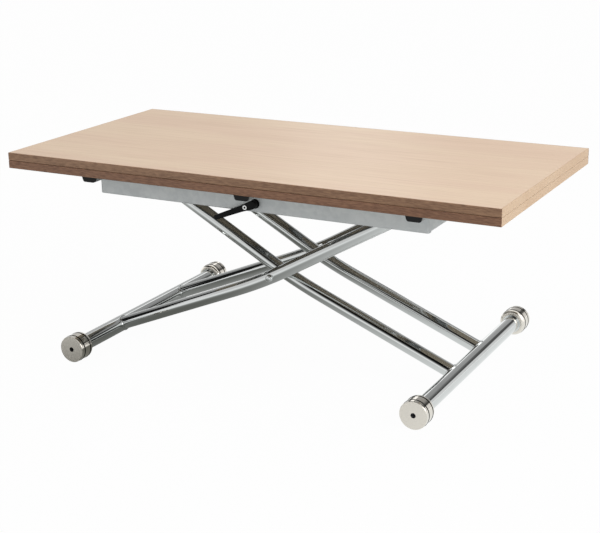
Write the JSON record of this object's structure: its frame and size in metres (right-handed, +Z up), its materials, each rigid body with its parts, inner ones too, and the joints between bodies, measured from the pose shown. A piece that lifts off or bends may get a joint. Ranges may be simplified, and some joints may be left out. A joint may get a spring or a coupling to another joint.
{
  "type": "convertible coffee and dining table",
  "caption": "Rectangular lift-up table whose double top slides forward and unfolds, on crossed bent tube legs with wheeled cross feet.",
  "frame": {"origin": "on the floor under the middle of the folded top", "axes": "+X along the top's length, -Y to the side with the release lever, +Z up"},
  "size_m": [1.2, 0.662, 0.4814],
  "materials": {
    "table_board": "light oak decor with fine grain along the length, satin",
    "dark_edging": "brown fine-textured edging, satin",
    "light_edging": "light oak edging, satin",
    "grey_steel": "pale grey galvanised look, satin",
    "chrome_tube": "polished chrome",
    "wheel_nickel": "polished rim, satin turned face",
    "ring_rubber": "matt black",
    "bright_steel": "zinc plated",
    "black_steel": "black oxide on steel screws",
    "hinge_steel": "satin nickel",
    "black_plastic": "fine matt black",
    "pale_nylon": "natural nylon",
    "black_paint": "satin black paint"
  },
  "bodies": {
    "left_axle": {"left_axle_rod": "bright_steel", "left_axle_screws": "black_steel"},
    "left_front_wheel": {"left_front_wheel": "wheel_nickel", "left_front_wheel_rings": "ring_rubber"},
    "left_rear_wheel": {"left_rear_wheel": "wheel_nickel", "left_rear_wheel_rings": "ring_rubber"},
    "outer_legs": {"left_foot_tube": "chrome_tube", "left_foot_bushes": "chrome_tube", "outer_leg_front": "chrome_tube", "outer_leg_rear": "chrome_tube", "pivot_bolts": "chrome_tube", "pivot_spacers": "chrome_tube"},
    "inner_legs": {"right_foot_tube": "chrome_tube", "right_foot_bushes": "chrome_tube", "right_axle_rod": "bright_steel", "right_axle_screws": "black_steel", "inner_leg_front": "chrome_tube", "inner_leg_rear": "chrome_tube", "carriage_shaft": "bright_steel"},
    "right_front_wheel": {"right_front_wheel": "wheel_nickel", "right_front_wheel_rings": "ring_rubber"},
    "right_rear_wheel": {"right_rear_wheel": "wheel_nickel", "right_rear_wheel_rings": "ring_rubber"},
    "front_roller": {"front_roller": "pale_nylon"},
    "rear_roller": {"rear_roller": "pale_nylon"},
    "gas_spring": {"gas_cylinder": "black_paint", "gas_cylinder_eye": "black_paint"},
    "frame": {"front_rail": "grey_steel", "back_rail": "grey_steel", "left_rail": "grey_steel", "right_rail": "grey_steel", "front_track": "grey_steel", "back_track": "grey_steel", "middle_crossbar": "grey_steel", "left_guide": "grey_steel", "middle_guide": "grey_steel", "right_guide": "grey_steel", "guide_end_caps": "black_plastic", "guide_screws": "bright_steel", "fixed_shaft": "bright_steel", "fixed_shaft_blocks": "pale_nylon", "gas_rod": "bright_steel", "release_head": "bright_steel", "lever_bush": "pale_nylon"},
    "release_lever": {"release_lever": "black_paint", "lever_shaft": "bright_steel", "lever_screw": "bright_steel"},
    "release_rod": {"release_rod": "bright_steel"},
    "lower_leaf": {"lower_leaf_board": "table_board", "lower_long_edges": "dark_edging", "lower_short_edges": "light_edging", "runners": "pale_nylon", "lower_leaf_screws": "bright_steel", "lower_hinge_plates": "hinge_steel", "hinge_pins": "hinge_steel"},
    "upper_leaf": {"upper_leaf_board": "table_board", "upper_long_edges": "dark_edging", "upper_short_edges": "light_edging", "upper_hinge_plates": "hinge_steel", "upper_hinge_screws": "bright_steel"}
  },
  "joints": [
    {"name": "lift", "type": "hinge", "parent": "left_axle", "child": "outer_legs", "pos_m": [-0.43, 0, 0.032], "axis": [0, -1, 0], "range_deg": [-6.5, 22.9]},
    {"name": "legs_cross", "type": "hinge", "parent": "outer_legs", "child": "inner_legs", "pos_m": [0.003, 0, 0.215], "axis": [0, -1, 0], "range_deg": [-46, 13.2]},
    {"name": "frame_level", "type": "hinge", "parent": "outer_legs", "child": "frame", "pos_m": [0.337, 0, 0.403], "axis": [0, -1, 0], "range_deg": [-23, 6.6]},
    {"name": "gas_spring_level", "type": "hinge", "parent": "inner_legs", "child": "gas_spring", "pos_m": [-0.331, 0, 0.403], "axis": [0, -1, 0], "range_deg": [-6.6, 23]},
    {"name": "left_front_wheel", "type": "hinge", "parent": "left_axle", "child": "left_front_wheel", "pos_m": [-0.43, 0, 0.032], "axis": [0, 1, 0], "continuous": true},
    {"name": "left_rear_wheel", "type": "hinge", "parent": "left_axle", "child": "left_rear_wheel", "pos_m": [-0.43, 0, 0.032], "axis": [0, 1, 0], "continuous": true},
    {"name": "right_front_wheel", "type": "hinge", "parent": "inner_legs", "child": "right_front_wheel", "pos_m": [0.436, 0, 0.032], "axis": [0, 1, 0], "continuous": true},
    {"name": "right_rear_wheel", "type": "hinge", "parent": "inner_legs", "child": "right_rear_wheel", "pos_m": [0.436, 0, 0.032], "axis": [0, 1, 0], "continuous": true},
    {"name": "front_roller", "type": "hinge", "parent": "inner_legs", "child": "front_roller", "pos_m": [-0.331, 0, 0.403], "axis": [0, 1, 0], "continuous": true},
    {"name": "rear_roller", "type": "hinge", "parent": "inner_legs", "child": "rear_roller", "pos_m": [-0.331, 0, 0.403], "axis": [0, 1, 0], "continuous": true},
    {"name": "release_lever", "type": "hinge", "parent": "frame", "child": "release_lever", "pos_m": [0.0015, 0, 0.403], "axis": [0, 1, 0], "range_deg": [0, 20], "stiffness_Nm_per_rad": 1.5, "springref_deg": -11.46},
    {"name": "release_rod", "type": "slide", "parent": "frame", "child": "release_rod", "axis": [-1, 0, 0], "range_m": [0, 0.005]},
    {"name": "top_slide", "type": "slide", "parent": "frame", "child": "lower_leaf", "axis": [0, -1, 0], "range_m": [0, 0.3]},
    {"name": "leaf_fold", "type": "hinge", "parent": "lower_leaf", "child": "upper_leaf", "pos_m": [0, 0.3002, 0.4631], "axis": [-1, 0, 0], "range_deg": [0, 180]}
  ],
  "couplings": [
    {"joint": "legs_cross", "follows": "lift", "ratio": -2},
    {"joint": "frame_level", "follows": "lift", "ratio": -1},
    {"joint": "gas_spring_level", "follows": "lift", "ratio": 1},
    {"joint": "release_rod", "follows": "release_lever", "m_per_rad": 0.014}
  ]
}
